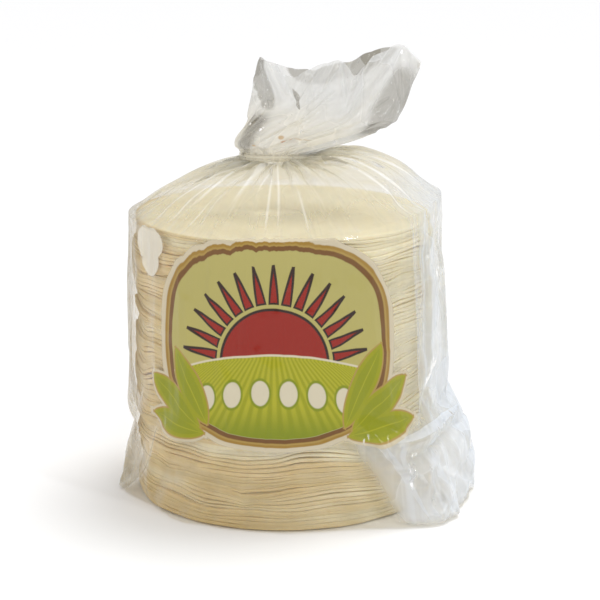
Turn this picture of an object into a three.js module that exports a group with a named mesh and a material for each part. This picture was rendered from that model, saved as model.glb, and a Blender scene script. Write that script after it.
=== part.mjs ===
// A clear film bag packed with a stack of corn tortillas and gathered at the neck by a tie.
// Millimetres, +Z up. The origin is the centre of the stack's base, and -Y is the printed front.
import * as THREE from "three";

// The stack: six-inch tortillas, whose pressed edges show through the film in groups.
const TORTILLA_DIAMETER = 152.4;
const TORTILLA_THICKNESS = 1.77;
const TORTILLA_COUNT = 80;
const STACK_RADIUS = TORTILLA_DIAMETER / 2;
const STACK_HEIGHT = TORTILLA_COUNT * TORTILLA_THICKNESS;
const LAYERS_IN_A_RIDGE = 5;
const RIDGE_DEPTH = 0.6;

// The film round the stack, in directions seen from above: 0 is right and -90 is the front.
const SLACK = { left: 4.4, right: 5.8, front: 3.0, top: 0.6 };
const FOOT_ROUNDING = 1.4;
const FOLDS = [
  { angle: -14, width: 9, rise: 1.8 },
  { angle: -38, width: 8, rise: 1.5 },
  { angle: -127, width: 7, rise: 1.2 },
  { angle: -160, width: 9, rise: 1.6 },
  { angle: 66, width: 9, rise: 1.8 },
  { angle: 118, width: 8, rise: 1.5 },
];

// The bottom corners of the bag: pulled into tents that stand out from the stack.
// A fall of 1 is a straight slope, and a higher fall is an upright flap.
const CORNERS = [
  { angle: -43, reach: 24, height: 66, fall: 1, pinch: 1.3 },
  { angle: -7, reach: 15.5, height: 37, fall: 5, pinch: 1.4 },
  { angle: -171, reach: 9, height: 24, fall: 1, pinch: 1.1 },
  { angle: -128, reach: 3, height: 14, fall: 1, pinch: 1 },
  { angle: 140, reach: 12, height: 40, fall: 1, pinch: 1.3 },
];
const FLAP_CORNERS = CORNERS.slice(0, 2);

// The shoulder: film drawn in from the stack's top edge to the neck.
const SHOULDER_CROWN = { left: 25, right: 68 };
const SHOULDER_SKEW = 1.3; // the crown is fuller near the neck
const RIGHT_LIFT = 9.5; // the film's edge stands above the top tortilla at the right
const PLEATS = 22;
const PLEAT_DEPTH = 4.4;

// The neck, where the film is gathered into a flat oval.
const NECK = { x: -4, z: 169.6, halfWidth: 19, halfDepth: 10, below: 3.2 };

// The tail above the neck fans out and leans right. Its side edges, in x and z from the neck's middle:
const TAIL_RIGHT = [[19, 1.8], [34, 6.5], [47.4, 12.7], [60.2, 19.7], [66.4, 35], [68.2, 47.3]];
const TAIL_LEFT = [[-19, 1.8], [-23, 6.8], [-21, 14.2], [-8.4, 27.6], [-12.3, 37.5], [-10.3, 48.8]];
// Peaks and dips of the mouth's edge, at shares of the way from right to left.
const FRONT_RIM = [
  { at: 0.11, width: 0.12, rise: 8.5 },
  { at: 0.39, width: 0.05, rise: -4.5 },
  { at: 0.8, width: 0.14, rise: -9 },
];
const BACK_RIM = [
  { at: 0.17, width: 0.16, rise: 6 },
  { at: 0.7, width: 0.24, rise: -7 },
];
const MOUTH = { halfDepth: 13, fullness: 4.5, depth: 0.55 };
const RUFFLES = 8;
const RUFFLE_DEPTH = 2.6;

// The tie: a flat strip round the neck.
const TIE = { width: 2.6, thickness: 0.7, clearance: 0.4 };

// The grid that the bag is drawn on.
const COLUMNS = 96;
const MOUTH_ROWS = 3;
const TAIL_ROWS = 11;
const SHOULDER_ROWS = 9;

const FILM_COLOUR = 0xe2d9bc;
const TIE_COLOUR = 0xece8dc;

const radians = THREE.MathUtils.degToRad;
const { lerp, smoothstep } = THREE.MathUtils;

// The smaller angle between two directions, in radians.
function turnBetween(a, b) {
  const turn = Math.abs(a - b) % (2 * Math.PI);
  return Math.min(turn, 2 * Math.PI - turn);
}

// Rounded peaks and dips along a line.
function bumps(list, at) {
  return list.reduce((sum, b) => sum + b.rise * Math.exp(-(((at - b.at) / b.width) ** 2)), 0);
}

function reachAt(corner, z) {
  return corner.reach * Math.max(0, 1 - (z / corner.height) ** corner.fall);
}

// Film drawn tight from a circle to a corner beyond it follows the circle's two tangents.
// A pinched corner's film is sucked in towards a fin.
function tentRadius(theta, radius, corner, z) {
  const reach = reachAt(corner, z);
  const half = Math.acos(radius / (radius + reach));
  const off = turnBetween(theta, radians(corner.angle));
  if (off >= half) return radius;
  const tight = radius / Math.cos(half - off) - radius;
  return radius + reach * (tight / reach) ** corner.pinch;
}

// Between the two right-hand corners the film runs straight.
function flapRadius(theta, radius, z) {
  const [from, to] = FLAP_CORNERS;
  const ahead = theta - radians(from.angle) - 2 * Math.PI;
  const behind = radians(to.angle) + 2 * Math.PI - theta;
  if (ahead < 0 || behind < 0) return radius;
  const a = radius + reachAt(from, z);
  const b = radius + reachAt(to, z);
  return (a * b * Math.sin(ahead + behind)) / (a * Math.sin(ahead) + b * Math.sin(behind));
}

// How far the pressed edges stand out or sink at a height, in groups of layers.
function ridge(z) {
  const pitch = LAYERS_IN_A_RIDGE * TORTILLA_THICKNESS;
  return -0.5 * RIDGE_DEPTH * Math.cos((2 * Math.PI * z) / pitch);
}

// Soft folds that run up the side and die out at its top and foot.
function fold(theta, height) {
  return FOLDS.reduce((sum, f) => {
    const off = turnBetween(theta, radians(f.angle)) / radians(f.width);
    return sum + f.rise * Math.exp(-(off ** 2)) * Math.sin(Math.PI * height) ** 0.6;
  }, 0);
}

function slackAt(theta) {
  const side = Math.cos(theta);
  const widest = side > 0 ? SLACK.right : SLACK.left;
  return lerp(SLACK.front, widest, side ** 2);
}

function sideRadius(theta, z) {
  const height = z / STACK_HEIGHT;
  const slack = lerp(slackAt(theta), SLACK.top, smoothstep(height, 0.45, 1));
  const round = STACK_RADIUS + slack;
  const tents = CORNERS.map((corner) => tentRadius(theta, round, corner, z));
  const widest = Math.max(...tents, flapRadius(theta, round, z));
  const held = Math.max(0, 1 - (widest - round) / 4);
  return widest + held * (ridge(z) + fold(theta, height));
}

function around(theta, radius, z) {
  return new THREE.Vector3(radius * Math.cos(theta), radius * Math.sin(theta), z);
}

function sidePoint(theta, height) {
  const z = height * STACK_HEIGHT;
  return around(theta, sideRadius(theta, z), z);
}

// The flat base ends in a rounded foot.
function basePoint(theta) {
  return around(theta, sideRadius(theta, 0) - FOOT_ROUNDING, 0);
}

// The middle line of the base, where its front and back halves meet.
function baseLine(theta) {
  return new THREE.Vector3(0.8 * STACK_RADIUS * Math.cos(theta), 0, 0);
}

// Where the film turns over the stack's top edge.
function topEdgePoint(theta) {
  const lift = RIGHT_LIFT * Math.max(0, Math.cos(theta)) ** 1.5;
  return around(theta, STACK_RADIUS + SLACK.top, STACK_HEIGHT + lift);
}

function neckPoint(theta, z) {
  const x = NECK.x + NECK.halfWidth * Math.cos(theta);
  return new THREE.Vector3(x, NECK.halfDepth * Math.sin(theta), z);
}

// Pleats run down the shoulder from the neck, uneven in width.
function pleat(theta, share) {
  const drift = 0.6 * Math.sin(3 * theta + 0.7) + 0.4 * Math.sin(5 * theta + 2.1);
  const depth = PLEAT_DEPTH * share ** 1.2 * (1 - share);
  return depth * Math.sin(PLEATS * theta + drift);
}

// From the stack's top edge at share 0 up to the neck at share 1.
function shoulderPoint(theta, share) {
  const edge = topEdgePoint(theta);
  const neck = neckPoint(theta, NECK.z - NECK.below);
  const rightness = 0.5 + 0.5 * Math.cos(theta);
  const crown = lerp(SHOULDER_CROWN.left, SHOULDER_CROWN.right, rightness ** 3);
  const point = edge.lerp(neck, share);
  point.z += crown * share ** SHOULDER_SKEW * (1 - share) + pleat(theta, share);
  return point;
}

// A side edge of the tail at a share of the way from the neck to the mouth.
function tailEdge(offsets, share) {
  const points = offsets.map(([x, z]) => new THREE.Vector3(NECK.x + x, 0, NECK.z + z));
  return new THREE.CatmullRomCurve3(points).getPoint(share);
}

// From the neck at share 0 to the mouth's edge at share 1. A flatness of 1 presses front to back.
function tailPoint(theta, share, flatness = 0) {
  const across = 0.5 - 0.5 * Math.cos(theta);
  const point = tailEdge(TAIL_RIGHT, share).lerp(tailEdge(TAIL_LEFT, share), across);
  const front = Math.sin(theta) < 0;
  point.z += bumps(front ? FRONT_RIM : BACK_RIM, across) * smoothstep(share, 0.4, 1);
  const belly = MOUTH.fullness * Math.sin(Math.PI * share) ** 2;
  const depth = lerp(NECK.halfDepth, MOUTH.halfDepth, share) + belly;
  const ruffle = RUFFLE_DEPTH * share * Math.sin(RUFFLES * theta + 1.1) * Math.abs(Math.sin(theta));
  point.y = (1 - flatness) * (depth * Math.sin(theta) + ruffle);
  return point;
}

// Inside the mouth, from its edge at share 0 down to where front and back meet at share 1.
function mouthPoint(theta, share) {
  const point = tailPoint(theta, 1, share);
  const inset = lerp(0.12, 0.88, 0.5 - 0.5 * Math.cos(theta));
  const below = 1 - MOUTH.depth;
  const floor = tailEdge(TAIL_RIGHT, below).lerp(tailEdge(TAIL_LEFT, below), inset);
  point.x = lerp(point.x, floor.x, share);
  point.z = lerp(point.z, floor.z, share);
  return point;
}

// Every ring of the bag, from the mouth's floor down to the base. The first and last lie folded flat.
function bagRings() {
  const sideRows = (2 * TORTILLA_COUNT) / LAYERS_IN_A_RIDGE;
  const shares = (count) => Array.from({ length: count }, (_, i) => 1 - i / count);
  const ring = (pointAt, share) => (theta) => pointAt(theta, share);
  return [
    ...shares(MOUTH_ROWS).map((s) => ring(mouthPoint, s)),
    ...shares(TAIL_ROWS).map((s) => ring(tailPoint, s)),
    ring(tailPoint, 0),
    ...shares(SHOULDER_ROWS).map((s) => ring(shoulderPoint, s)),
    topEdgePoint,
    ...shares(sideRows).slice(1).map((s) => ring(sidePoint, s)),
    ring(sidePoint, FOOT_ROUNDING / 2 / STACK_HEIGHT),
    basePoint,
    baseLine,
  ];
}

// A closed skin over rings of points that run from top to bottom.
function skin(rings, columns) {
  const positions = [];
  const index = [];
  rings.forEach((pointAt, row) => {
    for (let column = 0; column < columns; column += 1) {
      positions.push(...pointAt((2 * Math.PI * column) / columns).toArray());
      if (row === 0) continue;
      const here = row * columns + column;
      const beside = row * columns + ((column + 1) % columns);
      index.push(here - columns, here, beside, here - columns, beside, beside - columns);
    }
  });
  const geometry = new THREE.BufferGeometry();
  geometry.setAttribute("position", new THREE.Float32BufferAttribute(positions, 3));
  geometry.setIndex(index);
  geometry.computeVertexNormals();
  return geometry;
}

function makeBag() {
  const film = new THREE.MeshStandardMaterial({
    color: FILM_COLOUR,
    roughness: 0.3,
    metalness: 0,
  });
  const bag = new THREE.Mesh(skin(bagRings(), COLUMNS), film);
  bag.name = "bag";
  return bag;
}

// An oval strip that stands on edge round the neck.
function makeTie() {
  const strip = new THREE.MeshStandardMaterial({
    color: TIE_COLOUR,
    roughness: 0.4,
    metalness: 0,
  });
  const oval = (gap) => [NECK.halfWidth + gap, NECK.halfDepth + gap];
  const outer = oval(TIE.clearance + TIE.thickness);
  const inner = oval(TIE.clearance);
  const outline = new THREE.Shape().absellipse(0, 0, ...outer, 0, 2 * Math.PI);
  outline.holes.push(new THREE.Path().absellipse(0, 0, ...inner, 0, 2 * Math.PI, true));
  const geometry = new THREE.ExtrudeGeometry(outline, {
    depth: TIE.width,
    bevelEnabled: false,
    curveSegments: COLUMNS / 4,
  });
  const tie = new THREE.Mesh(geometry, strip);
  tie.name = "tie";
  tie.position.set(NECK.x, 0, NECK.z - TIE.width / 2);
  return tie;
}

const pack = new THREE.Group();
pack.add(makeBag(), makeTie());

export default pack;
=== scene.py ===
"""A clear film bag of corn tortillas: creased film with a printed front, the stack inside and a tie.

Lengths are worked out in millimetres, as in the part's source, and meshes are made in metres.
Directions are seen from above: 0 is right and -90 is the printed front.
"""

import math
from functools import reduce

import bpy
import numpy as np
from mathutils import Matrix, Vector


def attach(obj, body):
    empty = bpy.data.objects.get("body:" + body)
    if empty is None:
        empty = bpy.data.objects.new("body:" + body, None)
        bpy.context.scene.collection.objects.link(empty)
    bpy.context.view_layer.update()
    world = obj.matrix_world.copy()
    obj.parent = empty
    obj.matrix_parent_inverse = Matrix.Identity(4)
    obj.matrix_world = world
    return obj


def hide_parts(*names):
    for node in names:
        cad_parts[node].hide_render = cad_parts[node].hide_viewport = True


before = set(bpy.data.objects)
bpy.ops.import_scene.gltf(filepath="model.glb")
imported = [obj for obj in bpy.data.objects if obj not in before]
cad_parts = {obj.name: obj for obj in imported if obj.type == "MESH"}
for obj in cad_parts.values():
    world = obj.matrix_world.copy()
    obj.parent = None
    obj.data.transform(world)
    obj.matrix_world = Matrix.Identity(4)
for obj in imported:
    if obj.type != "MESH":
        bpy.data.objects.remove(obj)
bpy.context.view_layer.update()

MM = 0.001
TURN = 2 * math.pi

# The stack.
STACK_RADIUS = 76.2
TORTILLA_THICKNESS = 1.77
TORTILLA_COUNT = 80
STACK_HEIGHT = TORTILLA_COUNT * TORTILLA_THICKNESS
STACK_LEAN = (-1.2, -2.8)  # how far its middle lies to the right at the bottom and at the top

# The film's large form, a little closer in than the part's, because folds stand out from it.
SLACK = {"left": 1.8, "right": 4.2, "front": 0.9, "top": 0.4}
FOLDS = [(-14, 9, 1.2), (-38, 8, 1.2), (-127, 7, 0.8), (-160, 9, 1.2), (66, 9, 1.8), (118, 8, 1.5)]
CORNERS = [  # angle, reach, height, fall, pinch
    (-43, 24, 66, 1, 1.3),
    (-7, 17.5, 41, 6, 1.4),
    (-171, 9, 24, 1, 1.1),
    (-128, 3, 14, 1, 1),
    (140, 12, 40, 1, 1.3),
]
SHOULDER_CROWN = {"left": 24, "right": 60}
SHOULDER_SKEW = 1.3
RIGHT_LIFT = 9.5
NECK = {"x": -4, "z": 169.6, "half_width": 19, "half_depth": 10, "below": 3.2, "above": 1.8}
TAIL_RIGHT = [(19, 1.8), (34, 6.5), (47.4, 12.7), (60.2, 19.7), (67, 34), (69.8, 46.5)]
TAIL_LEFT = [(-19, 1.8), (-23, 5), (-21.5, 13.5), (-8.4, 27.6), (-12.3, 37.5), (-10.3, 48.8)]
FRONT_RIM = [(0.15, 0.13, 9), (0.41, 0.05, -6.5), (0.49, 0.04, 1.5), (0.8, 0.13, -8)]  # at, width, rise
BACK_RIM = [(0.17, 0.16, 6), (0.7, 0.24, -7)]
MOUTH = {"half_depth": 13, "fullness": 4.5}

# The film itself: a tube of this flat circumference, with its rows of points from base to mouth.
FILM_WIDTH = 560
COLUMNS = 480
ROWS = {"side": 126, "shoulder": 60, "neck": 4, "tail": 72}
BASE_RINGS = 10
BASE_REACH = 82
FILM_LENGTH = 380  # from the base's middle to the mouth, at most
SPARE = [(-15, 30, 0.3), (188, 25, 0.12), (60, 30, 0.1), (120, 30, 0.1)]  # angle, width, more film
PLEATS = 30
PLEAT_FILM = 1.02  # beside the pleats' own width, as some of the film is folded flat
TAIL_WIDTH = 1.03  # beside the tail's own girth, as most of the film is folded away inside it
LENGTH_SLACK = {"side": 1, "shoulder": 1.01, "neck": 1, "tail": 1.03}
CRUMPLED_LENGTH = 0.03  # what crumpling adds to it
TAIL_FACETS = {"across": 12, "along": 4, "rise": 1.9, "steady": [3, 9]}  # its left and right edges stay
SIDE_FACETS = {"across": 34, "along": 8, "rise": 1.7, "steady": []}
CREASES = [  # start and end as angle and height, width, rise
    ((-41, 140), (-40, 54), 5, 2.5),
    ((-29, 128), (-30, 58), 5, -1.5),
    ((-17, 128), (-12, 60), 7, 1),
    ((-52, 39), (-14, 46), 5, 4.5),
    ((-46, 31), (-8, 39.5), 3.5, -3.5),
    ((-56, 40), (-34, 3), 4, 4),
    ((-156, 104), (-160, 60), 6, 2),
    ((-143, 40), (-150, 8), 5, 2.5),
]
LEVELS = [(8, 200, 0.02), (4, 160, 0.015), (2, 100, 0.01), (1, 50, 0.01)]  # coarseness, steps, stiffness
FIRST_WAVES = 4.0
SIDE_SLACK = {"smooth": 0.01, "crumpled": 0.05}  # spare width, where the second adds to the first
CRUMPLES = {4: (20, 1.6, 5), 2: (8, 0.5, 6)}  # at two levels: size, rise, seed
TAIL_CRUMPLES = {4: 0.2, 2: 1}  # the tail's share of them
HOLD_REACH = 15  # the film keeps its form over distances longer than this
HOLD = 0.7
POINT_STEP = 1.15  # about how far apart the finest grid's points are


def smoothstep(x, start, end):
    t = np.clip((x - start) / (end - start), 0, 1)
    return t * t * (3 - 2 * t)


def lerp(a, b, share):
    return a + (b - a) * share


def turn_between(a, b):
    turn = np.abs(a - b) % TURN
    return np.minimum(turn, TURN - turn)


def cross(a, b):
    return a[0] * b[1] - a[1] * b[0]


def bell(off, width):
    return np.exp(-((off / width) ** 2))


def near_angle(turns, angle, width):
    """1 at an angle, dying out over a width, both in degrees."""
    return bell(turn_between(turns, math.radians(angle)), math.radians(width))


def bumps(places, at):
    return sum(rise * bell(at - middle, width) for middle, width, rise in places)


# --- The large form of the bag ---


def reach_at(corner, z):
    _, reach, height, fall, _ = corner
    return reach * np.maximum(0, 1 - (z / height) ** fall)


def tent_radius(theta, radius, corner, z):
    """Film drawn tight from a circle to a corner beyond it."""
    reach = reach_at(corner, z)
    half = np.arccos(radius / (radius + reach))
    off = turn_between(theta, math.radians(corner[0]))
    tight = np.maximum(radius / np.cos(np.maximum(half - off, 0)) - radius, 0)
    pulled = radius + reach * (tight / np.maximum(reach, 1e-9)) ** corner[4]
    return np.where(off < half, pulled, radius)


def flap_radius(theta, radius, z):
    """Between the two right-hand corners the film runs straight."""
    start, end = (math.radians(corner[0]) % TURN for corner in CORNERS[:2])
    ahead = theta % TURN - start
    behind = end - theta % TURN
    a = radius + reach_at(CORNERS[0], z)
    b = radius + reach_at(CORNERS[1], z)
    across = a * np.sin(ahead) + b * np.sin(behind)
    between = (ahead >= 0) & (behind >= 0)
    straight = a * b * math.sin(end - start) / np.where(between, across, 1)
    return np.where(between, straight, radius)


def side_radius(theta, z):
    height = z / STACK_HEIGHT
    widest = np.where(np.cos(theta) > 0, SLACK["right"], SLACK["left"])
    slack = lerp(SLACK["front"], widest, np.cos(theta) ** 2)
    slack = lerp(slack, SLACK["top"], smoothstep(height, 0.45, 1))
    middle = STACK_RADIUS + slack
    radius = flap_radius(theta, middle, z)
    for corner in CORNERS:
        radius = np.maximum(radius, tent_radius(theta, middle, corner, z))
    held = np.maximum(0, 1 - (radius - middle) / 4)
    fold = sum(rise * near_angle(theta, angle, width) for angle, width, rise in FOLDS)
    return radius + held * fold * np.sin(math.pi * np.clip(height, 0, 1)) ** 0.6


def around(theta, radius, z):
    return np.stack([radius * np.cos(theta), radius * np.sin(theta), z + 0 * theta], -1)


def stack_middle(z):
    """The stack leans a little to the left."""
    return lerp(STACK_LEAN[0], STACK_LEAN[1], np.clip(z / STACK_HEIGHT, 0, 1))


def side_points(theta, share):
    z = max(share * STACK_HEIGHT, 0.4)
    points = around(theta, side_radius(theta, z), z)
    points[:, 0] += stack_middle(z) * (0.5 - 0.5 * np.cos(theta))
    return points


def neck_points(theta, z):
    x = NECK["x"] + NECK["half_width"] * np.cos(theta)
    return np.stack([x, NECK["half_depth"] * np.sin(theta), z + 0 * theta], -1)


def shoulder_points(theta, share):
    lift = RIGHT_LIFT * np.maximum(0, np.cos(theta)) ** 1.5
    edge = around(theta, STACK_RADIUS + SLACK["top"], STACK_HEIGHT + lift)
    edge[:, 0] += STACK_LEAN[1] * (0.5 - 0.5 * np.cos(theta))
    rightness = (0.5 + 0.5 * np.cos(theta)) ** 3
    crown = lerp(SHOULDER_CROWN["left"], SHOULDER_CROWN["right"], rightness)
    points = lerp(edge, neck_points(theta, NECK["z"] - NECK["below"]), share)
    points[:, 2] += crown * share**SHOULDER_SKEW * (1 - share)
    return points


def along_curve(offsets, share):
    """A point on a smooth curve through evenly shared offsets from the neck's middle."""
    stops = np.array(offsets, float) + [NECK["x"], NECK["z"]]
    stops = np.vstack([2 * stops[0] - stops[1], stops, 2 * stops[-1] - stops[-2]])
    place = share * (len(stops) - 3)
    i = min(int(place), len(stops) - 4)
    t = place - i
    a, b, c, d = stops[i : i + 4]
    return 0.5 * (2 * b + (c - a) * t + (2 * a - 5 * b + 4 * c - d) * t**2 + (3 * b - a - 3 * c + d) * t**3)


def tail_points(theta, share):
    across = 0.5 - 0.5 * np.cos(theta)
    right, left = along_curve(TAIL_RIGHT, share), along_curve(TAIL_LEFT, share)
    x = lerp(right[0], left[0], across)
    z = lerp(right[1], left[1], across)
    depth = lerp(NECK["half_depth"], MOUTH["half_depth"], share)
    depth += MOUTH["fullness"] * math.sin(math.pi * share) ** 2
    return np.stack([x, depth * np.sin(theta), z], -1)


def rim_rise(theta):
    """How far the mouth's edge lies above a straight line from its right end to its left end."""
    across = 0.5 - 0.5 * np.cos(theta)
    rise = np.where(np.sin(theta) < 0, bumps(FRONT_RIM, across), bumps(BACK_RIM, across))
    return rise * smoothstep(np.abs(np.sin(theta)), 0, 0.45)


# --- The film, relaxed from its large form ---


def film_rows():
    """Each row's part of the bag and its share of the way through that part."""
    rows = [(part, i / count) for part, count in ROWS.items() for i in range(count)]
    return rows + [("tail", 1.0)]


def row_points(theta, part, share):
    if part == "side":
        return side_points(theta, share)
    if part == "shoulder":
        return shoulder_points(theta, share)
    if part == "neck":
        return neck_points(theta, NECK["z"] + lerp(-NECK["below"], NECK["above"], share))
    return tail_points(theta, share)


def spare_film(theta):
    """How much film there is for each millimetre round the bag."""
    return 1 + sum(more * near_angle(theta, angle, width) for angle, width, more in SPARE)


def row_directions(part, share):
    """Where a row's columns lie, as angles, with the printed front's middle always at -90."""
    dense = TURN * (np.arange(1441) / 1440 - 0.75)
    points = row_points(dense, part, share)
    steps = np.linalg.norm(np.diff(points, axis=0), axis=1) * spare_film(0.5 * (dense[1:] + dense[:-1]))
    gone = np.concatenate([[0], np.cumsum(steps)])
    front = np.interp(-TURN / 4, dense, gone)
    wanted = (front + gone[-1] * (np.arange(COLUMNS) / COLUMNS - 0.5)) % gone[-1]
    return np.interp(wanted, gone, dense)


def pleated_share(part, share):
    """How deep a row's pleats are, dying out above and below the neck."""
    if part == "side":
        return 0
    if part == "shoulder":
        return 0.06 * smoothstep(share, 0.05, 0.3) + 0.94 * smoothstep(share, 0.3, 1) ** 2
    if part == "neck":
        return 1
    return 1 - smoothstep(share, 0, 0.12)


def gather(points, part, share):
    """Folds a row into uneven pleats."""
    at = TURN * np.arange(COLUMNS) / COLUMNS
    phase = PLEATS * at + 1.8 * np.sin(3 * at + 0.7) + 1.3 * np.sin(5 * at + 2.1) + 0.7 * np.sin(8 * at + 4)
    depth = 0.4 + 0.12 * np.sin(7 * at + 1)
    ridge = 0.5 - 0.5 * np.cos(phase)
    drawn = 1 - depth * pleated_share(part, share) * ridge
    middle = points[:, 0].mean()
    points[:, 0] = middle + (points[:, 0] - middle) * drawn
    points[:, 1] *= drawn
    return points


def noise(shape, grain, seed):
    """Smooth random heights on a grid that closes on itself, with a spread of 1."""
    heights = np.random.default_rng(seed).standard_normal(shape)
    down = np.fft.fftfreq(shape[0])[:, None] * grain[0]
    across = np.fft.fftfreq(shape[1])[None, :] * grain[1]
    heights = np.real(np.fft.ifft2(np.fft.fft2(heights) * np.exp(-2 * (down**2 + across**2))))
    return heights / heights.std()


def pull_together(a, b, rest, firmness):
    """Moves two sets of points along their lines until they are a rest length apart."""
    between = b - a
    length = np.sqrt((between * between).sum(-1)) + 1e-9
    return (0.5 * firmness * (1 - rest / length))[..., None] * between


def hold_rows(points, rest):
    """Keeps the film's width between the columns, which run round in a ring."""
    for start in (0, 1):
        turned = np.roll(points, -start, 1)
        move = pull_together(turned[:, 0::2], turned[:, 1::2], np.roll(rest, -start, 1)[:, 0::2], 1)
        turned[:, 0::2] += move
        turned[:, 1::2] -= move
        points[:] = np.roll(turned, start, 1)


def hold_columns(points, rest, lean, firmness):
    """Keeps the film's length between the rows, straight up or leaning by one column."""
    for start in (0, 1):
        lower = points[start:-1:2]
        upper = np.roll(points[start + 1 :: 2], -lean, 1)
        move = pull_together(lower, upper, rest[start::2], firmness)
        lower += move
        points[start + 1 :: 2] -= np.roll(move, lean, 1)


def keep_outside(points):
    """Keeps the film off the stack and off the floor."""
    x, y, z = points[..., 0], points[..., 1], points[..., 2]
    middle = stack_middle(z)
    radius = np.hypot(x - middle, y) + 1e-9
    wall, lid = STACK_RADIUS, STACK_HEIGHT + 0.5
    inside = (radius < wall) & (z < lid)
    sideways = inside & (wall - radius <= lid - z)
    out = np.where(sideways, wall / radius, 1)
    x[:] = middle + (x - middle) * out
    y *= out
    z[inside & ~sideways] = lid
    np.maximum(z, 0.3, out=z)


def spread(count, reach, ring):
    """The shares with which each place in a line or a ring takes the mean of its neighbours."""
    off = np.abs(np.arange(count)[:, None] - np.arange(count)[None, :])
    if ring:
        off = np.minimum(off, count - off)
    shares = np.where(off < 4 * reach, np.exp(-0.5 * (off / reach) ** 2), 0)
    return (shares / shares.sum(1, keepdims=True)).astype(np.float32)


def relax(points, form, width, length, steps, stiffness, pinned, reach):
    """Lets film of a fixed width and length crease, while its large form stays."""
    slant = np.sqrt((0.5 * (width[:-1] + width[1:])) ** 2 + length**2)
    up = spread(len(points), reach, False)
    across = spread(points.shape[1], reach, True)
    for _ in range(steps):
        hold_rows(points, width)
        hold_columns(points, length, 0, 1)
        hold_columns(points, slant, 1, 0.7)
        hold_columns(points, slant, -1, 0.7)
        off = points - form
        bend = np.roll(off, 1, 1) + np.roll(off, -1, 1) - 2 * off
        bend[1:-1] += off[2:] + off[:-2] - 2 * off[1:-1]
        points += stiffness * bend
        drift = off
        for shares in (up, across):
            drift = (shares @ drift.reshape(len(drift), -1)).reshape(drift.shape).swapaxes(0, 1)
        points -= HOLD * drift
        keep_outside(points)
        points[pinned] = form[pinned]


def refine(points, rows, columns):
    """The same film on a finer grid."""
    ring = np.arange(columns) * points.shape[1] / columns
    left = ring.astype(int)
    points = lerp(points[:, left], points[:, (left + 1) % points.shape[1]], (ring - left)[None, :, None])
    place = np.linspace(0, len(points) - 1, rows)
    below = np.minimum(place.astype(int), len(points) - 2)
    return lerp(points[below], points[below + 1], (place - below)[:, None, None])


def facets(u, v, size, seed):
    """Heights of crumpled film: flat facets that meet at straight creases."""
    dice = np.random.default_rng(seed)
    many = 97
    heights = dice.standard_normal((many, many))
    waves = dice.uniform(0, TURN, 4)
    x = (u * 0.87 + v * 0.5) / size
    y = (v * 0.87 - u * 0.5) / size
    x = x + 0.35 * np.sin(v / size * 1.3 + waves[0]) + 0.2 * np.sin(u / size * 2.1 + waves[1])
    y = y + 0.35 * np.sin(u / size * 1.1 + waves[2]) + 0.2 * np.sin(v / size * 2.3 + waves[3])
    i, j = np.floor(x).astype(int), np.floor(y).astype(int)
    x, y = x - i, y - j
    corners = ((0, 0), (1, 0), (0, 1), (1, 1))
    a, b, c, d = (heights[(i + m) % many, (j + n) % many] for m, n in corners)
    near = a + (b - a) * x + (c - a) * y
    far = d + (c - d) * (1 - x) + (b - d) * (1 - y)
    return np.where(x + y < 1, near, far)


def flat_facets(points, cut, seed):
    """The same rows of points, moved onto flat facets that meet at straight creases."""
    dice = np.random.default_rng(seed)
    rows, columns = points.shape[:2]
    across, along = cut["across"], cut["along"]
    row = np.linspace(0, rows - 1, along + 1)[:, None] + np.zeros(across)
    row[1:-1] += dice.uniform(-0.32, 0.32, (along - 1, across)) * rows / along
    shift = dice.uniform(-0.32, 0.32, (along + 1, across))
    rise = cut["rise"] * dice.standard_normal((along + 1, across, 1))
    shift[:, cut["steady"]] = 0
    rise[:, cut["steady"]] *= 0.3
    column = (np.arange(across) + shift) * columns / across
    near_row = row.round().astype(int)
    nodes = points[near_row, column.round().astype(int) % columns]
    out = nodes - points.mean(1)[near_row]
    out /= np.linalg.norm(out, axis=2, keepdims=True)
    nodes = nodes + out * rise
    flat = points.copy()
    for i in range(along):
        for j in range(across):
            ring = [(i, j), (i, j + 1), (i + 1, j + 1), (i + 1, j)]
            if dice.random() < 0.5:
                ring = ring[1:] + ring[:1]
            for corners in (ring[:3], ring[2:] + ring[:1]):
                a, b, c = (
                    np.array([row[m, n % across], column[m, n % across] + columns * (n // across)])
                    for m, n in corners
                )
                low = np.floor(np.min([a, b, c], 0)).astype(int)
                high = np.ceil(np.max([a, b, c], 0)).astype(int)
                y, x = np.mgrid[max(low[0], 0) : min(high[0], rows - 1) + 1, low[1] : high[1] + 1]
                to_b, to_c, to_here = b - a, c - a, (y - a[0], x - a[1])
                near_b = cross(to_here, to_c) / cross(to_b, to_c)
                near_c = cross(to_b, to_here) / cross(to_b, to_c)
                hit = (near_b >= -1e-6) & (near_c >= -1e-6) & (near_b + near_c <= 1 + 1e-6)
                p, q, r = (nodes[m, n % across] for m, n in corners)
                place = p + near_b[hit][:, None] * (q - p) + near_c[hit][:, None] * (r - p)
                flat[y[hit], x[hit] % columns] = place
    return flat


def main_folds(theta, z):
    """How far the film stands out along its main folds before it relaxes."""
    out = 0 * z
    for (angle, height), (end_angle, end_height), width, rise in CREASES:
        run = np.array([math.radians(end_angle - angle) * STACK_RADIUS, end_height - height])
        x = ((theta - math.radians(angle) + math.pi) % TURN - math.pi) * STACK_RADIUS
        along = np.clip((x * run[0] + (z - height) * run[1]) / (run @ run), 0, 1)
        off = np.hypot(x - along * run[0], z - height - along * run[1])
        out += rise * np.exp(-off / (0.7 * width))
    return out


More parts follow.
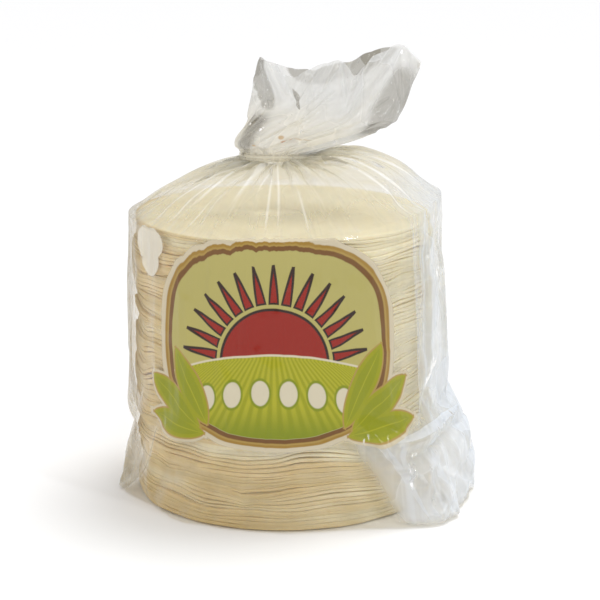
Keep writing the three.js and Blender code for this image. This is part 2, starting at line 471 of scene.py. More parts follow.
def crumpling(theta, z, tail):
    """How crumpled the film is at each place, from 0 to 1."""
    right = bell(turn_between(theta, math.radians(-20)), 0.55)
    left = bell(turn_between(theta, math.radians(-165)), 0.4)
    back = bell(turn_between(theta, math.radians(95)), 0.9)
    low = 1 - smoothstep(z, 35, 75)
    side = 0.1 + right * (0.35 + 0.65 * low) + left * (0.2 + 0.4 * low) + back * 0.35
    return lerp(np.minimum(side, 1), 1, tail)


def film_grid():
    """The film's points in rows from the base's edge to the mouth, with their places on the flat film.

    The first column is at the middle of the back, so the printed front lies in the middle of a row."""
    rows = film_rows()
    parts = np.array([part for part, _ in rows])
    shares = np.array([share for _, share in rows])
    theta = np.array([row_directions(*row) for row in rows])
    smooth = np.array([row_points(angles, *row) for angles, row in zip(theta, rows)])
    for part, cut, seed, fade in (
        ("side", SIDE_FACETS, 9, crumpling(theta, smooth[..., 2], 0)[parts == "side"][..., None]),
        ("tail", TAIL_FACETS, 4, smoothstep(shares[parts == "tail"], 0.05, 0.25)[:, None, None]),
    ):
        here = parts == part
        smooth[here] = lerp(smooth[here], flat_facets(smooth[here], cut, seed), fade)
    smooth[..., 2] += rim_rise(theta) * ((parts == "tail") * smoothstep(shares, 0.4, 1))[:, None]
    smooth += around(theta, main_folds(theta, smooth[..., 2]) * (parts == "side")[:, None], 0 * theta)
    smooth[0] += around(theta[0], 0.8 * noise((1, COLUMNS), (1, 9), 8)[0], 0)
    form = np.array([gather(points.copy(), *row) for points, row in zip(smooth, rows)])
    pinned = parts == "neck"
    pinned[0] = True
    length = np.sqrt((np.diff(smooth, axis=0) ** 2).sum(-1))
    slack = np.array([LENGTH_SLACK[part] for part in parts])[:-1, None]
    loose = crumpling(theta, smooth[..., 2], 0)[:-1] * np.isin(parts, ["side", "shoulder"])[:-1, None]
    length *= slack + CRUMPLED_LENGTH * loose
    front = COLUMNS // 2
    flat_u = (np.arange(COLUMNS) - front) * FILM_WIDTH / COLUMNS
    flat_v = np.concatenate([[0], np.cumsum(length[:, front])])
    tail = np.where(parts == "tail", smoothstep(shares, 0, 0.14), 0)[:, None]
    crumpled = crumpling(theta, smooth[..., 2], tail)
    arc = np.linalg.norm(np.roll(smooth, -1, 1) - smooth, axis=2)
    width = arc * (1 + SIDE_SLACK["smooth"] + SIDE_SLACK["crumpled"] * crumpled)
    top = int(np.argmax(parts == "shoulder"))
    pleated = np.linalg.norm(np.roll(form, -1, 1) - form, axis=2)
    width[top:] = lerp(PLEAT_FILM * pleated[top:], TAIL_WIDTH * arc[top:], tail[top:])
    u, v = np.meshgrid(flat_u, flat_v)
    crumples = {
        coarse: crumpled * rise * lerp(1, TAIL_CRUMPLES[coarse], tail) * facets(u, v, size, seed)
        for coarse, (size, rise, seed) in CRUMPLES.items()
    }
    points = None
    for coarse, steps, stiffness in LEVELS:
        at = np.unique(np.r_[np.arange(0, len(rows), coarse), len(rows) - 1])
        columns = np.arange(0, COLUMNS, coarse)
        here = np.ix_(at, columns)
        target = form[here]
        if coarse > 4:
            middle = form.mean(1, keepdims=True)[at] * [1, 0, 1]
            narrowed = lerp(middle, smooth[here], 0.6)
            target = np.where((parts[at] == "neck")[:, None, None], narrowed, smooth[here])
        target = target.astype(np.float32)
        widths = np.add.reduceat(width[at], columns, axis=1).astype(np.float32)
        lengths = np.add.reduceat(length, at[:-1], axis=0)[:, columns].astype(np.float32)
        if points is None:
            points = smooth[here]
            rise = FIRST_WAVES * noise(theta[here].shape, (4, 2.2), 3) * (0.1 + 0.9 * crumpled[here])
        else:
            points = refine(points, len(at), len(columns))
            rise = 0.05 * coarse * noise(theta[here].shape, (5, 2.5), 11 + coarse)
        if coarse in crumples:
            rise = rise + crumples[coarse][here]
        points = (points + around(theta[here], rise, 0 * rise)).astype(np.float32)
        reach = HOLD_REACH / (coarse * POINT_STEP)
        relax(points, target, widths, lengths, steps, stiffness, pinned[at], reach)
    return points, flat_u, flat_v, parts


# --- Meshes ---


def add_object(name, data, place=(0, 0, 0), turn=(0, 0, 0)):
    thing = bpy.data.objects.new(name, data)
    thing.location = place
    thing.rotation_euler = turn
    bpy.context.scene.collection.objects.link(thing)
    return thing


def make_mesh(name, points, faces, corners=None):
    """An object from points in millimetres and faces, with a flat map of the corners if given.

    A face whose fourth number is -1 is a triangle."""
    mesh = bpy.data.meshes.new(name)
    faces = np.asarray(faces, np.int32)
    mesh.vertices.add(len(points))
    mesh.vertices.foreach_set("co", (np.asarray(points, float) * MM).ravel())
    sizes = np.where(faces[:, 3] < 0, 3, 4)
    mesh.loops.add(int(sizes.sum()))
    mesh.loops.foreach_set("vertex_index", faces[faces >= 0].ravel())
    mesh.polygons.add(len(faces))
    mesh.polygons.foreach_set("loop_start", np.concatenate([[0], np.cumsum(sizes)[:-1]]).astype(np.int32))
    mesh.polygons.foreach_set("use_smooth", np.ones(len(faces), bool))
    mesh.update(calc_edges=True)
    if corners is not None:
        layer = mesh.uv_layers.new(name="OFBake")
        layer.data.foreach_set("uv", np.asarray(corners, float)[faces >= 0].ravel())
    mesh.validate()
    return add_object(name, mesh)


def ring_faces(rows, columns):
    """Quads between rows of points that each run round in a ring."""
    at = np.arange(rows * columns).reshape(rows, columns)
    lower, upper = at[:-1], at[1:]
    quads = np.stack([lower, np.roll(lower, -1, 1), np.roll(upper, -1, 1), upper], -1)
    return quads.reshape(-1, 4)


def ring_corners(u, v):
    """The flat place of each quad's corners. There is one more u than there are columns."""
    (left, low), (right, high) = np.meshgrid(u[:-1], v[:-1]), np.meshgrid(u[1:], v[1:])
    x = np.stack([left, right, right, left], -1)
    y = np.stack([low, low, high, high], -1)
    return np.stack([x, y], -1).reshape(-1, 4, 2)


def film_sheet(name, points, flat_u, flat_v):
    rows, columns = points.shape[:2]
    u = np.append(flat_u, flat_u[0] + FILM_WIDTH) / FILM_WIDTH + 0.5
    v = (flat_v + BASE_REACH) / FILM_LENGTH
    return make_mesh(name, points.reshape(-1, 3), ring_faces(rows, columns), ring_corners(u, v))


def build_film():
    """The film in two pieces that meet under the tie."""
    points, flat_u, flat_v, parts = film_grid()
    rings = np.linspace(0.02, 1, BASE_RINGS, endpoint=False)
    base = np.array([points[0] * [share, share, 0] + [0, 0, 0.25] for share in rings])
    whole = np.concatenate([base, points])
    heights = np.concatenate([BASE_REACH * (rings - 1), flat_v])
    meet = BASE_RINGS + int(np.argmax(parts == "neck")) + 2
    body = film_sheet("film_body", whole[: meet + 1], flat_u, heights[: meet + 1])
    tail = film_sheet("film_tail", whole[meet:], flat_u, heights[meet:])
    return body, tail


LAYER_COLUMNS = 180
INNER_RINGS = [0.4, 0.75, 0.94]  # shares of the radius, on each face
EDGE = [(1.5, 0), (0.65, 0.07), (0.15, 0.26), (0, 0.5)]  # share of the groove, share of the height
LAYERS_IN_A_PIECE = 20
LOOSE_SHARE = 0.42
# Gaps: layer, angle, width, gap. Dips: angle, width, height, spread, depth.
GAPS = [(74, -30, 22, 0.9), (11, -98, 9, 1.3), (8, -66, 22, 0.7), (6, -120, 20, 0.6), (59, -25, 14, 0.6)]
DIPS = [(-106, 7, 17, 6, 2.8), (-62, 10, 30, 8, 0.9), (-140, 9, 26, 9, 1.2)]
ROLL ={"layer": 70, "angle": -152, "width": 24, "thicker": 5.5, "below": 4}
TOP_LAYERS = 5  # a little narrower than the rest, so that a ledge shows at the right


def layer_noise(grain, seed):
    """Smooth random numbers for each layer and direction, free at the top and bottom."""
    columns = LAYER_COLUMNS if grain[1] else 1
    return noise((TORTILLA_COUNT * 2, columns), grain, seed)[:TORTILLA_COUNT]


def layer_edges():
    """Each tortilla's radius, middle, lower and upper height, and the groove above it, all round."""
    turns = TURN * np.arange(LAYER_COLUMNS) / LAYER_COLUMNS
    # Some layers lie apart from the next. The others stick together in groups.
    apart = np.random.default_rng(20).random(TORTILLA_COUNT) < LOOSE_SHARE
    group = np.cumsum(np.append(0, apart[:-1]))
    loose = smoothstep(layer_noise((0.5, 11), 21), -0.9, 1.5) * apart[:, None]
    gaps = 0.2 * loose
    for layer, angle, width, gap in GAPS:
        gaps[layer] += gap * near_angle(turns, angle, width)
        loose[layer] = np.maximum(loose[layer], near_angle(turns, angle, width))
    thickness = 1.75 * (1 + 0.16 * layer_noise((0.7, 0), 27)) + 0.18 * layer_noise((0.7, 9), 22)[group]
    rolled = near_angle(turns, ROLL["angle"], ROLL["width"])
    below = slice(ROLL["layer"] - ROLL["below"], ROLL["layer"])
    thickness[ROLL["layer"]] += ROLL["thicker"] * rolled
    thickness[below] *= 1 - 0.8 * rolled
    top = np.cumsum(gaps + thickness, axis=0)
    scale = (STACK_HEIGHT - 0.6) / top[-1]
    top = top * scale
    low = top - thickness * scale
    radius = 75.1 + (0.45 * layer_noise((0.6, 0), 23) + 0.4 * layer_noise((0.8, 11), 24))[group]
    radius += 0.04 * layer_noise((0, 0), 31) + 0.05 * layer_noise((0.4, 5), 28)
    radius[below] -= 0.9 * rolled
    radius[ROLL["layer"]] += 0.5 * rolled
    radius[-TOP_LAYERS:] -= np.linspace(0.8, 2.4, TOP_LAYERS)[:, None]
    for layer, angle, width, gap in GAPS:
        radius[layer + 1] += 0.5 * gap * near_angle(turns, angle, width)
    sideways = layer_noise((5, 0), 25) + 0.5 * layer_noise((0, 0), 26)[group]
    drift = np.concatenate([sideways, layer_noise((5, 0), 29)], 1).T * 0.5
    drift[0] += stack_middle(np.linspace(0, STACK_HEIGHT, TORTILLA_COUNT))
    drift[0, -TOP_LAYERS:] -= 0.8
    most = STACK_RADIUS - 0.4 - np.hypot(drift[0] - stack_middle(top.mean(1)), drift[1])
    waves = layer_noise((7, 15), 30) + 0.45 * layer_noise((2.5, 6), 33)

    def settled(z):
        """Heights after the layers have sunk into waves, least at the bottom."""
        drop = 0.75 * waves * np.sin(math.pi * np.clip(z / STACK_HEIGHT, 0, 1)) ** 0.6
        for angle, width, height, reach, depth in DIPS:
            cusp = np.exp(-turn_between(turns, math.radians(angle)) / math.radians(width))
            drop -= depth * cusp * bell(z - height, reach) * smoothstep(z, 2, 12)
        return z + drop + 0.4

    return np.minimum(radius, most[:, None]), drift, settled(low), settled(top), 0.04 + 0.75 * loose


def tortilla(number, edges):
    """One closed disc with a wavy edge, which is rounded where the next one stands off."""
    radius, drift, low, top, groove = edges
    theta = TURN * np.arange(LAYER_COLUMNS) / LAYER_COLUMNS
    under, over = groove[max(number - 1, 0)], groove[number]
    reach, bottom, crown = radius[number], low[number], top[number]
    rings = [(share * reach, lerp(bottom.mean(), bottom, share**4)) for share in INNER_RINGS]
    rings += [(reach - under * deep, lerp(bottom, crown, rise)) for deep, rise in EDGE]
    rings += [(reach - over * deep, lerp(crown, bottom, rise)) for deep, rise in EDGE[-2::-1]]
    rings += [(share * reach, lerp(crown.mean(), crown, share**4)) for share in INNER_RINGS[::-1]]
    points = np.array([around(theta, out, z) for out, z in rings])
    points[..., 0] += drift[0, number]
    points[..., 1] += drift[1, number]
    return points


def build_tortillas():
    edges = layer_edges()
    pieces = []
    count = 2 * len(INNER_RINGS) + 2 * len(EDGE) - 1
    sides = ring_faces(count, LAYER_COLUMNS)
    here = np.arange(LAYER_COLUMNS)
    ahead = np.roll(here, -1)
    nothing = np.full(LAYER_COLUMNS, -1)
    for start in range(0, TORTILLA_COUNT, LAYERS_IN_A_PIECE):
        points, quads = [], []
        for i in range(LAYERS_IN_A_PIECE):
            rings = tortilla(start + i, edges)
            points.append(np.vstack([rings.reshape(-1, 3), rings[0].mean(0), rings[-1].mean(0)]))
            first = i * (count * LAYER_COLUMNS + 2)
            last = first + (count - 1) * LAYER_COLUMNS
            middle = np.full_like(here, last + LAYER_COLUMNS)
            quads.append(sides + first)
            quads.append(np.stack([ahead + first, here + first, middle, nothing], -1))
            quads.append(np.stack([here + last, ahead + last, middle + 1, nothing], -1))
        name = f"tortillas_{start // LAYERS_IN_A_PIECE + 1}"
        pieces.append(make_mesh(name, np.vstack(points), np.vstack(quads)))
    return pieces


# --- Finishes ---


class Value:
    """A number that varies over a surface. Arithmetic on it adds Math nodes."""

    def __init__(self, finish, socket):
        self.finish = finish
        self.socket = socket

    def math(self, operation, *values):
        return self.finish.add("ShaderNodeMath", {"operation": operation}, dict(enumerate((self, *values))))

    def __add__(self, other):
        return self.math("ADD", other)

    __radd__ = __add__

    def __sub__(self, other):
        return self.math("SUBTRACT", other)

    def __rsub__(self, other):
        return (self * -1).math("ADD", other)

    def __mul__(self, other):
        return self.math("MULTIPLY", other)

    __rmul__ = __mul__

    def __truediv__(self, other):
        return self.math("DIVIDE", other)

    def __pow__(self, other):
        return self.math("POWER", other)

    def __abs__(self):
        return self.math("ABSOLUTE")

    def least(self, other):
        return self.math("MINIMUM", other)

    def most(self, other):
        return self.math("MAXIMUM", other)

    def ramp(self, start, end, low=0.0, high=1.0):
        """Goes smoothly from low to high as the value goes from start to end."""
        inputs = {"Value": self, "From Min": start, "From Max": end, "To Min": low, "To Max": high}
        return self.finish.add("ShaderNodeMapRange", {"interpolation_type": "SMOOTHSTEP"}, inputs)

    def band(self, start, full, waning, end):
        """Rises to 1 between the first two values, and falls to 0 between the others."""
        return self.ramp(start, full) * (1 - self.ramp(waning, end))


class Finish:
    """A material, made node by node."""

    def __init__(self, name):
        self.material = bpy.data.materials.new(name)
        self.material.use_nodes = True
        self.tree = self.material.node_tree
        self.tree.nodes.clear()

    def add(self, kind, settings=None, inputs=None, output=0):
        """Adds a node, with its settings made first, and gives one of its outputs."""
        node = self.tree.nodes.new(kind)
        for name, setting in (settings or {}).items():
            setattr(node, name, setting)
        for name, value in (inputs or {}).items():
            self.join(node.inputs[name], value)
        return Value(self, node.outputs[output]) if node.outputs else None

    def join(self, socket, value):
        if isinstance(value, Value):
            self.tree.links.new(value.socket, socket)
        elif socket.type == "RGBA":
            socket.default_value = (*value, 1)
        else:
            socket.default_value = value

    def mix(self, share, low, high):
        """A mix of two colours."""
        return self.add("ShaderNodeMix", {"data_type": "RGBA"}, {0: share, 6: low, 7: high}, output=2)

    def place(self):
        """Where a point lies in its object, in metres."""
        return self.add("ShaderNodeTexCoord", output=3)

    def noise(self, place, scale, detail=3, roughness=0.55):
        inputs = {"Vector": place, "Scale": scale, "Detail": detail, "Roughness": roughness}
        return self.add("ShaderNodeTexNoise", None, inputs)

    def part(self, vector, axis):
        """One of a vector's three numbers."""
        return self.add("ShaderNodeSeparateXYZ", None, {0: vector}, output=axis)

    def vector(self, x, y, z):
        return self.add("ShaderNodeCombineXYZ", None, {0: x, 1: y, 2: z})

    def vector_math(self, operation, a, b):
        return self.add("ShaderNodeVectorMath", {"operation": operation}, {0: a, 1: b})

    def warped(self, place, scale, reach):
        """A place moved a little by soft noise."""
        inputs = {"Vector": place, "Scale": scale, "Detail": 2}
        drift = self.add("ShaderNodeTexNoise", None, inputs, output=1)
        drift = self.vector_math("SUBTRACT", drift, [0.5] * 3)
        return self.vector_math("ADD", place, self.vector_math("MULTIPLY", drift, [reach] * 3))

    def bump(self, height, strength, distance):
        inputs = {"Height": height, "Strength": strength, "Distance": distance}
        return self.add("ShaderNodeBump", None, inputs)

    def surface(self, colour, roughness, more=None):
        inputs = {"Base Color": colour, "Roughness": roughness, **(more or {})}
        return self.add("ShaderNodeBsdfPrincipled", None, inputs)

    def clear(self, colour):
        return self.add("ShaderNodeBsdfTransparent", None, {"Color": colour})

    def blend(self, share, low, high):
        """A mix of two shaders."""
        return self.add("ShaderNodeMixShader", None, {0: share, 1: low, 2: high})

    def show(self, shader):
        self.add("ShaderNodeOutputMaterial", None, {"Surface": shader})
        return self.material


def linear(red, green, blue):
    """A colour as numbers from 0 to 255, made linear."""
    shares = (value / 255 for value in (red, green, blue))
    return tuple(c / 12.92 if c <= 0.04045 else ((c + 0.055) / 1.055) ** 2.4 for c in shares)


INK = {
    "halo": linear(198, 186, 160),
    "rim": linear(152, 118, 46),
    "rim_dark": linear(112, 74, 30),
    "rim_light": linear(166, 136, 66),
    "field": linear(173, 163, 95),
    "field_low": linear(178, 167, 96),
    "red": linear(143, 27, 8),
    "dark": linear(42, 22, 14),
    "green": linear(148, 149, 6),
    "green_dark": linear(125, 135, 6),
    "green_light": linear(170, 166, 32),
    "cream": linear(206, 196, 170),
    "white": linear(226, 221, 206),
}
MATT = {"Specular IOR Level": 0.0}
INK_COVER = 0.94
SOFT = 0.3  # how soft the edge of the print is
PANEL = {"u": -5, "v": 93, "half_width": 62, "half_height": 50, "roundness": 2.6}
SUN = {"v": 84, "radius": 26, "rays": 30, "ray_start": 30, "ray_end": 47}
LEAVES = [  # base, angle, length, width
    ((30, 52), 62, 44, 6.5),
    ((34, 50), 34, 40, 7),
    ((32, 47), 8, 38, 6.5),
    ((-40, 52), 118, 40, 6.5),
    ((-44, 50), 146, 38, 7),
    ((-42, 47), 172, 34, 6),
]


def ellipse(u, v, middle, halves, lean=0):
    """How far a place lies outside an ellipse, roughly."""
    x, y = u - middle[0], v - middle[1]
    c, s = math.cos(math.radians(lean)), math.sin(math.radians(lean))
    across, up = x * c + y * s, y * c - x * s
    reach = ((across / halves[0]) ** 2 + (up / halves[1]) ** 2) ** 0.5
    return (reach - 1) * min(halves)


def lens(u, v, base, angle, length, width):
    """How far a place lies outside a leaf that grows from its base at an angle."""
    c, s = math.cos(math.radians(angle)), math.sin(math.radians(angle))
    x, y = u - base[0], v - base[1]
    along, off = (x * c + y * s) / length, abs(y * c - x * s)
    swell = (along * (1 - along)).most(0.0) ** 0.75
    return (off - swell * (2.8 * width)).most((abs(along - 0.5) - 0.5) * length)


def inside(distance, grow=0.0):
    return distance.ramp(grow - SOFT, grow + SOFT, 1.0, 0.0)


def print_on(f, u, v):
    """The printed design's colour and how much of the film it covers."""
    rumpled = (f.noise(f.vector(u * 0.09, 0.0, 0.0), 1, 3) - 0.5) * v.ramp(118, 136, 0, 9)
    v = v + rumpled * (u * -1).ramp(-30, 10, 0.2, 1)
    across = u - PANEL["u"]
    x, y = across / PANEL["half_width"], (v - PANEL["v"]) / PANEL["half_height"]
    power = PANEL["roundness"]
    panel = ((abs(x) ** power + abs(y) ** power) ** (1 / power) - 1) * PANEL["half_height"]
    field = inside(panel, -4.4)
    field_tint = f.mix((v / 100).ramp(0.55, 1.25), INK["field_low"], INK["field"])

    # A half sun with rays.
    up = v - SUN["v"]
    away = (across**2 + up**2) ** 0.5
    bearing = up.math("ARCTAN2", across)
    wave = abs((bearing * (SUN["rays"] / TURN)).math("FRACT") - 0.5) * 2
    ray = wave * 3.2 + (away - 34) * 0.12 - 1.2
    ray = ray.most(away - SUN["ray_end"]).most(SUN["ray_start"] - away)
    sun = (away - SUN["radius"]).least(ray * 1.4)
    sky = up.ramp(0, 0.6)

    # A ploughed hill below it, with a row of kernels.
    hill = v - 88 + across**2 * 0.0042
    rows = abs((across / (hill.least(-1.0) * -1 + 16) * 9).math("FRACT") - 0.5) * 2
    hill_tint = f.mix(rows.ramp(0.2, 0.8), INK["green"], INK["green_light"])
    hill_tint = f.mix((hill + 34).ramp(-6, 12), INK["green_dark"], hill_tint)
    step = ((across + 98) / 14).math("FRACT") * 14 - 7
    kernel = ellipse(step, v - 70 + across**2 * 0.004, (0, 0), (4.4, 6.2))
    outline = (kernel - 1).most(abs(across) - 43)
    kernel = kernel.most(abs(across) - 42)

    # Leaves that grow out past the panel.
    leaves = reduce(Value.least, [lens(u, v, *leaf) for leaf in LEAVES])
    veins = [lens(u, v, base, angle, length * 0.9, 0.22) for base, angle, length, _ in LEAVES]
    veins = reduce(Value.least, veins)

    # A small bare patch high at the left.
    patch = ellipse(u, v, (-82, 135), (14, 8.5), 4).least(ellipse(u, v, (-80, 127), (8, 8), 10))

    # The coats of ink, from the lowest up.
    colour = INK["halo"]
    for share, coat in (
        (inside(panel), INK["rim"]),
        (inside(panel, -1.3), INK["rim_light"]),
        (inside(panel, -2.2), INK["rim_dark"]),
        (field, field_tint),
        (inside(sun, 1.3) * sky * field, INK["dark"]),
        (inside(sun) * sky * field, INK["red"]),
        (inside(hill, 1.0) * field, INK["cream"]),
        (inside(hill) * field, hill_tint),
        (inside(outline) * field, INK["green_dark"]),
        (inside(kernel) * field, INK["cream"]),
        (inside(leaves, 2.4) * (1 - inside(panel)), INK["halo"]),
        (inside(leaves, 0.9), INK["rim_light"]),
        (inside(leaves), INK["green"]),
        (inside(leaves, -2) * 0.5, INK["green_dark"]),
        (inside(veins), INK["green_light"]),
        (inside(patch), INK["white"]),
    ):
        colour = f.mix(share, colour, coat)
    cover = inside(panel, 2.2).most(inside(leaves, 2.4)).most(inside(patch) * 0.75)
    return colour, cover * INK_COVER


def marks_on(f, u, v):
    """The colour and cover of the scraps of print that show in the open end's folds."""
    gold = inside(ellipse(u, v, (-35, 236), (4, 1.1))).most(inside(ellipse(u, v, (-77, 230), (8, 0.6))))
    gold = gold.most(inside(ellipse(u, v, (4, 235), (15, 0.4))) * 0.6)
    red = inside(ellipse(u, v, (-21, 234), (10, 1.2)))
    return f.mix(red, linear(178, 138, 72), linear(168, 92, 48)), gold.most(red) * 0.7


def painted_shade_places(u, v):
    """Painted shade: where the open end's film is so clear that it looks dark, it is given a dark tint."""
    left = ellipse(u, v, (-124, 272), (44, 11), -24).ramp(-2, 0.5, 0.62, 0)
    behind = ellipse(abs(u), v, (260, 283), (66, 12)).ramp(-1, 0.5, 0.75, 0)
    mouth = inside(ellipse(u, v, (234, 282), (16, 7)))
    edge = ellipse(u, v, (108, 258), (44, 16), 14).ramp(-4, 3, 0.6, 0)
    slit = inside(lens(u, v, (-65, 274), -44, 26, 2.6)) * 0.7
    knot = abs(abs(u + 138) - 34).ramp(10, 34, 0.65, 0) * (1 - abs(v - 236).ramp(8, 18))
    low = lens(u, v, (88, 230), 25, 34, 3).ramp(-2, 1, 0.6, 0)
    return reduce(Value.most, (left, behind, mouth, edge, slit, knot, low))


def film_finish(name, printed):
    """Thin clear film with a little milkiness, glossy glints and painted glints of white haze, and painted
    shade as dark tints. The print lies on it as ink.
    """
    f = Finish(name)
    flat = f.add("ShaderNodeUVMap", {"uv_map": "OFBake"})
    u = (f.part(flat, 0) - 0.5) * FILM_WIDTH
    v = f.part(flat, 1) * FILM_LENGTH - BASE_REACH
    place = f.place()
    fine = f.noise(place, 320, 4)
    bent = f.vector_math("MULTIPLY", f.warped(place, 45, 0.007), (1, 1, 0.7))
    cells = {"Vector": bent, "Scale": 52}
    folds = f.add("ShaderNodeTexVoronoi", {"feature": "DISTANCE_TO_EDGE"}, cells)
    # A random number for each facet. The milkiness and grey that follow it are partly the film's own
    # unevenness, partly painted light and shade: facets painted lighter and darker as if turned towards and
    # away from the light.
    facet = f.part(f.add("ShaderNodeTexVoronoi", None, cells, output=1), 0)
    # The crease lines are laid on as thin white haze: painted glints along the creases.
    lines = folds.ramp(0.0, 0.06, 1, 0)
    height = folds.ramp(0, 0.15) + fine * 0.3
    edge_on = f.add("ShaderNodeLayerWeight", None, {"Blend": 0.5}, output=1)
    if printed:
        streaks = f.noise(f.vector(u * 0.14, v * 0.012, 0.0), 1, 2).ramp(0.48, 0.7)
        # Threads give fine relief, and are also painted as white haze along the shoulder's folds: painted
        # glints.
        threads_and_painted_glints = f.noise(f.vector(u * 0.17, v * 0.007, 3.0), 1, 1).ramp(0.56, 0.64)
        height = height * v.ramp(120, 150, 1, 0.3)
        height = height + (streaks * 0.5 + threads_and_painted_glints * 0.4) * (1 - v.ramp(150, 170))
        # Spots where the film is glossier, also painted as white haze: painted glints.
        glossy_and_painted_glint_spots = f.noise(f.vector(u * 0.12, v * 0.05, 7.0), 1, 3, 0.7).ramp(0.6, 0.66)

        # The parts of the body, each from 0 to 1.
        shoulder = v.ramp(132, 176)
        at_neck = v.ramp(156, 172)
        corner = (u + v * 0.54 - 52).ramp(0, 12) * (1 - v.ramp(36, 56))
        edges = inside(lens(u, v, (49, 42), -61, 44, 1.3)).most(inside(lens(u, v, (50, 42), 4, 74, 1.8)))
        right = u.band(60, 104, 140, 190)
        left = (u * -1).band(84, 116, 120, 156) * (1 - shoulder)

        # How much of the light it scatters, and in which colours. Painted light and shade are among them:
        # glints as white streaks and spots, brighter milk at the neck, a cool tint at the right, and darker
        # tan with a dark tint at the left.
        creased = v.ramp(70, 120, 0.4, 0.14) + 0.2 * streaks + 0.32 * facet + 0.12 * threads_and_painted_glints + 0.06 * lines
        side = (right * (creased + 0.3 * glossy_and_painted_glint_spots)).most(corner * (creased + 0.04))
        side = side + left * (0.32 + 0.2 * facet + 0.2 * streaks) + edges * 0.4
        over = 0.26 + (1 - at_neck) * (0.15 * streaks + 0.3 * threads_and_painted_glints) + 0.1 * facet + at_neck * 0.1
        milky = 0.04 + 0.06 * streaks + shoulder * over + (1 - shoulder) * side
        # Painted shade: a dark tint at a small place near the neck and low at the left.
        painted_shade = (inside(ellipse(u, v, (79, 195), (9, 8))) * 0.3).most(left * v.ramp(30, 60, 0, 0.22))
        # Painted light: the milk near the neck is brighter, against the shade in the pleats there.
        painted_neck_light_milk = f.mix(at_neck, (0.64, 0.6, 0.49), (0.9, 0.86, 0.73))
        # A cool tint at the right and a cooler one at the lower corner: painted cool light from the right.
        milk = f.mix(u.band(50, 85, 180, 230) * (1 - at_neck), painted_neck_light_milk, (0.68, 0.74, 0.83))
        milk = f.mix(corner.most(v.ramp(60, 110, 0.7, 0) * right), milk, (0.84, 0.9, 0.99))
        # Painted glints: white milk along the shoulder's threads and at the right's spots.
        milk = f.mix((threads_and_painted_glints * shoulder).most(glossy_and_painted_glint_spots * right), milk, (0.96, 0.95, 0.92))
        # Painted shade: darker tan milk at the left, the side away from the light.
        milk = f.mix(left, milk, (0.47, 0.41, 0.27))
        lit = (0.8, 0.795, 0.76)
        share = 0.5 - 0.35 * left - 0.2 * right + shoulder * (0.3 - 0.5 * threads_and_painted_glints)
        glints = glossy_and_painted_glint_spots * right.most(corner).most(shoulder * 0.2 * (1 - at_neck))
        colour, cover = print_on(f, u, v)
        ink = f.surface(colour, 0.5, MATT)
    else:
        milky = 0.4 + 0.3 * facet + 0.14 * lines
        painted_shade = painted_shade_places(u, v)
        # Painted light: brighter, warmer milk near the neck against the shade in the folds, greyer further
        # out.
        milk = f.mix(v.ramp(235, 268).most(u.ramp(20, 90)), (0.98, 0.93, 0.8), (0.78, 0.79, 0.8))
        # Painted shade on facets: greyer milk on some of them.
        milk = f.mix(facet.ramp(0, 0.6, 0.5, 0), milk, (0.62, 0.6, 0.55))
        lit = (0.9, 0.89, 0.86)
        share = 0.5
        glints = f.noise(f.vector(u * 0.1, v * 0.16, 7.0), 1, 3, 0.7).ramp(0.66, 0.7)
        colour, cover = marks_on(f, u, v)
        ink = f.surface(colour, 0.5)
    normal = f.bump(height, 0.35, 0.0005)
    off_floor = v.ramp(-1, 5)
    haze = ((milky + edge_on**2 * 0.28) * (1 - painted_shade * 1.3).most(0) * off_floor).least(0.92)
    # The dark tint is painted shade.
    clear = f.blend(painted_shade, f.clear((0.985, 0.98, 0.965)), f.clear((0.33, 0.31, 0.26)))
    through = f.add("ShaderNodeBsdfTranslucent", None, {"Color": lit})
    shader = f.blend(haze, clear, f.blend(share, f.surface(milk, 0.6, MATT), through))
    shader = f.blend(cover, shader, ink)
    shine = f.add("ShaderNodeBsdfGlossy", None, {"Color": (1, 1, 1), "Roughness": 0.08, "Normal": normal})
    glance = f.add("ShaderNodeFresnel", None, {"IOR": 1.4, "Normal": normal})
    return f.show(f.blend((glance * off_floor).least(0.35).most(glints * 0.7), shader, shine))


def masa_finish(name, seed):
    """Pale pressed maize dough, with specks of hull, soft mottling and a few faint toasted marks. Its rims
    are darker and browner, partly their own colour and partly painted shade, and the lowest layers carry
    painted shade.
    """
    f = Finish(name)
    place = f.place()
    x, y, z = (f.part(place, axis) for axis in range(3))
    rim = ((x**2 + y**2) ** 0.5).ramp(0.0735, 0.0757)
    layer = f.noise(f.vector(x * 6, y * 6, z * 565), 1, 2)
    broad = f.noise(place, 30 + seed, 3)
    mid = f.noise(place, 160, 4, 0.6)
    fine = f.noise(place, 900, 3, 0.6)
    colour = f.mix(broad.ramp(0.3, 0.7), linear(234, 222, 188), linear(242, 232, 203))
    # Darker, browner rims: partly the dough's own edge colour, partly painted shade on the stack's sides.
    colour = f.mix(rim, colour, f.mix(layer.ramp(0.3, 0.7), linear(209, 186, 138), linear(222, 199, 154)))
    # Painted shade: the lowest layers are darker and yellower, where less light reaches near the floor.
    colour = f.mix(z.ramp(0, 0.04, 0.28, 0), colour, linear(188, 160, 98))
    colour = f.mix(mid.ramp(0.55, 0.8) * 0.35, colour, linear(206, 176, 118))
    colour = f.mix(fine.ramp(0.66, 0.78) * 0.35, colour, linear(186, 150, 88))
    return f.show(f.surface(colour, 0.75, {
        "Normal": f.bump(mid * 0.6 + fine * 0.4, 0.5, 0.0006),
        "Specular IOR Level": 0.25,
        "Subsurface Weight": 0.25,
        "Subsurface Radius": (0.004, 0.003, 0.0015),
        "Subsurface Scale": 1.0,
    }))


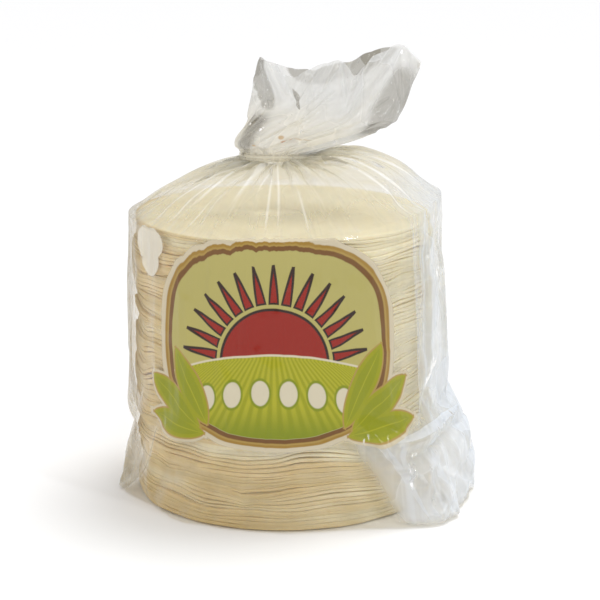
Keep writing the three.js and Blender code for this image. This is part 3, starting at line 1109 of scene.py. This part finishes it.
def strip_finish(name):
    """Narrow milky film with fine lines along it."""
    f = Finish(name)
    place = f.place()
    x, y, z = (f.part(place, axis) for axis in range(3))
    lines = f.noise(f.vector(x * 60, y * 60, z * 2500), 1, 2)
    colour = f.mix(lines.ramp(0.3, 0.7), linear(226, 219, 199), linear(242, 238, 224))
    strip = f.surface(colour, 0.25, {"Normal": f.bump(lines, 0.4, 0.0003)})
    clear = f.clear((0.97, 0.965, 0.95))
    return f.show(f.blend(lines.ramp(0.2, 0.8, 0.15, 0.45), clear, strip))


# --- The stage ---


def add_light(name, place, aim, size, power, colour):
    lamp = bpy.data.lights.new(name, "AREA")
    lamp.shape = "RECTANGLE"
    lamp.size, lamp.size_y = size
    lamp.energy = power
    lamp.color = colour
    add_object(name, lamp, place, (Vector(aim) - Vector(place)).to_track_quat("-Z", "Y").to_euler())


FLOOR_REACH = 9000
FLOOR_Z = -0.4  # just under the film


def build_stage():
    turns = ((-1, -1), (1, -1), (1, 1), (-1, 1))
    corners = [(x * FLOOR_REACH, y * FLOOR_REACH, FLOOR_Z) for x, y in turns]
    floor = make_mesh("floor", corners, [(0, 1, 2, 3)])
    f = Finish("floor")
    floor.data.materials.append(f.show(f.surface((0.9, 0.9, 0.905), 0.9)))
    world = bpy.data.worlds.new("studio")
    world.use_nodes = True
    background = world.node_tree.nodes["Background"]
    background.inputs["Color"].default_value = (1, 1, 1, 1)
    background.inputs["Strength"].default_value = 0.68
    bpy.context.scene.world = world
    add_light("front_strip", (0.15, -0.8, 1.2), (0, 0, 0.15), (0.6, 0.035), 1.9, (1, 1, 1))
    add_light("right_strip", (0.75, -0.75, 0.75), (0, 0, 0.1), (0.05, 0.5), 2.0, (0.86, 0.93, 1))
    add_light("left_strip", (-0.9, -0.6, 0.5), (0, 0, 0.1), (0.04, 0.4), 1.4, (1, 0.97, 0.92))
    sky = bpy.data.lights.new("overhead", "SUN")
    sky.energy = 1.5
    sky.angle = math.radians(30)
    holder = add_object("overhead", sky, turn=(math.radians(-12), math.radians(16), 0))
    holder.visible_glossy = False


def build_camera():
    camera = bpy.data.cameras.new("camera")
    camera.sensor_width = 36
    camera.lens = 109.9
    camera.clip_start = 0.01
    tilt = math.radians(90 - 14.07)
    bpy.context.scene.camera = add_object("camera", camera, (0.0063, -0.9, 0.3211), (tilt, 0, 0))
    bpy.context.scene.view_settings.view_transform = "Standard"
    cycles = bpy.context.scene.cycles
    cycles.transparent_max_bounces = 48
    cycles.max_bounces = 20
    cycles.diffuse_bounces = 10
    cycles.use_denoising = True


build_camera()
build_stage()
body, tail = build_film()
body.data.materials.append(film_finish("film_printed", True))
tail.data.materials.append(film_finish("film_clear", False))
for piece in (body, tail):
    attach(piece, "root")
    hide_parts("bag")
for number, piece in enumerate(build_tortillas()):
    piece.data.materials.append(masa_finish(f"masa_{number + 1}", number))
    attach(piece, "root")
    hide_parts("bag")
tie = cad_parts["tie"]
tie.data.materials.clear()
tie.data.materials.append(strip_finish("tie_strip"))
